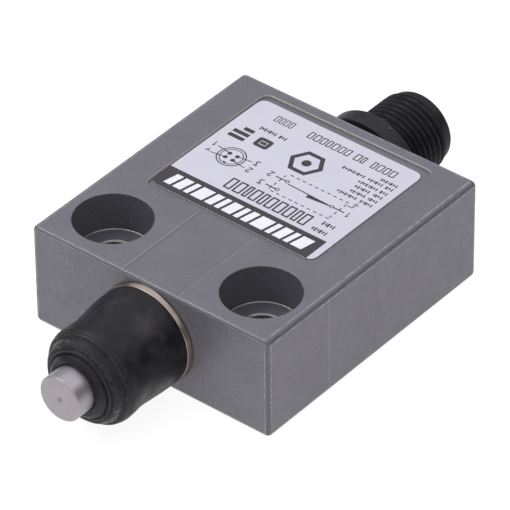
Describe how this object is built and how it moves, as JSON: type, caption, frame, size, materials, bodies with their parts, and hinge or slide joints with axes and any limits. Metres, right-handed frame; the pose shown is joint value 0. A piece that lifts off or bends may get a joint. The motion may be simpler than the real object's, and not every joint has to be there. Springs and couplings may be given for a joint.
{
  "type": "limit switch",
  "caption": "Compact metal limit switch with a boot-sealed pin plunger, two counterbored screw holes and a round threaded four-pin connector.",
  "frame": {"origin": "midway between the two screw holes, on the mounting face under the block", "axes": "+X across the two screw holes, +Y from the plunger to the connector, +Z out of the label"},
  "size_m": [0.0404, 0.0765, 0.016],
  "materials": {
    "cast_metal": "satin, fine cast texture",
    "cover_plate": "satin",
    "seal_rubber": "matte",
    "boot_rubber": "satin, lightly scuffed",
    "insulator_plastic": "matte",
    "label_film": "satin printed film",
    "plated_collar": "nickel plated, satin",
    "stainless": "fine turned",
    "spring_steel": "drawn wire",
    "screw_steel": "zinc plated",
    "switch_plastic": "matte moulded",
    "terminal_brass": "stamped",
    "silver_contact": "silver alloy",
    "gold_pin": "gold plated",
    "connector_plastic": "matte moulded",
    "lead_black": "matte insulation",
    "lead_blue": "matte insulation",
    "lead_red": "matte insulation",
    "lead_green": "matte insulation"
  },
  "bodies": {
    "body": {"housing": "cast_metal", "rear_cover": "cover_plate", "cover_gasket": "seal_rubber", "insulating_liner": "insulator_plastic", "label": "label_film", "head_bushing": "plated_collar", "boot": "boot_rubber", "plunger_seal": "seal_rubber", "return_spring": "spring_steel", "rod_guide": "insulator_plastic", "switch_case": "switch_plastic", "switch_cover": "switch_plastic", "switch_screw_left": "screw_steel", "switch_screw_right": "screw_steel", "common_terminal": "terminal_brass", "normally_open_terminal": "terminal_brass", "normally_closed_terminal": "terminal_brass", "normally_closed_contact": "silver_contact", "normally_open_contact": "silver_contact", "ground_tag": "terminal_brass", "ground_screw": "screw_steel", "lead_common": "lead_black", "lead_normally_open": "lead_blue", "lead_normally_closed": "lead_red", "lead_ground": "lead_green", "connector_shell": "connector_plastic", "connector_insert": "connector_plastic", "connector_nut": "plated_collar", "connector_seal": "seal_rubber", "connector_pin_1": "gold_pin", "connector_pin_2": "gold_pin", "connector_pin_3": "gold_pin", "connector_pin_4": "gold_pin"},
    "plunger": {"plunger_pin": "stainless", "overtravel_spring": "spring_steel"},
    "actuator": {"actuator_rod": "stainless", "switch_button": "insulator_plastic"},
    "blade": {"contact_blade": "terminal_brass", "moving_contact": "silver_contact"}
  },
  "joints": [
    {"name": "plunger_slide", "type": "slide", "parent": "body", "child": "plunger", "axis": [0, 1, 0], "range_m": [0, 0.0048], "stiffness_N_per_m": 1500, "springref_m": -0.002, "deforming": ["boot", "return_spring", "overtravel_spring"]},
    {"name": "actuator_slide", "type": "slide", "parent": "body", "child": "actuator", "axis": [0, 1, 0], "range_m": [0, 0.0006]},
    {"name": "blade_swing", "type": "hinge", "parent": "body", "child": "blade", "pos_m": [-0.0072, 0.0192, 0.008], "axis": [0, 0, 1], "range_deg": [0, 3]}
  ],
  "couplings": [
    {"joint": "actuator_slide", "follows": "plunger_slide", "ratio": 0.125},
    {"joint": "blade_swing", "follows": "plunger_slide", "rad_per_m": 10.9}
  ]
}
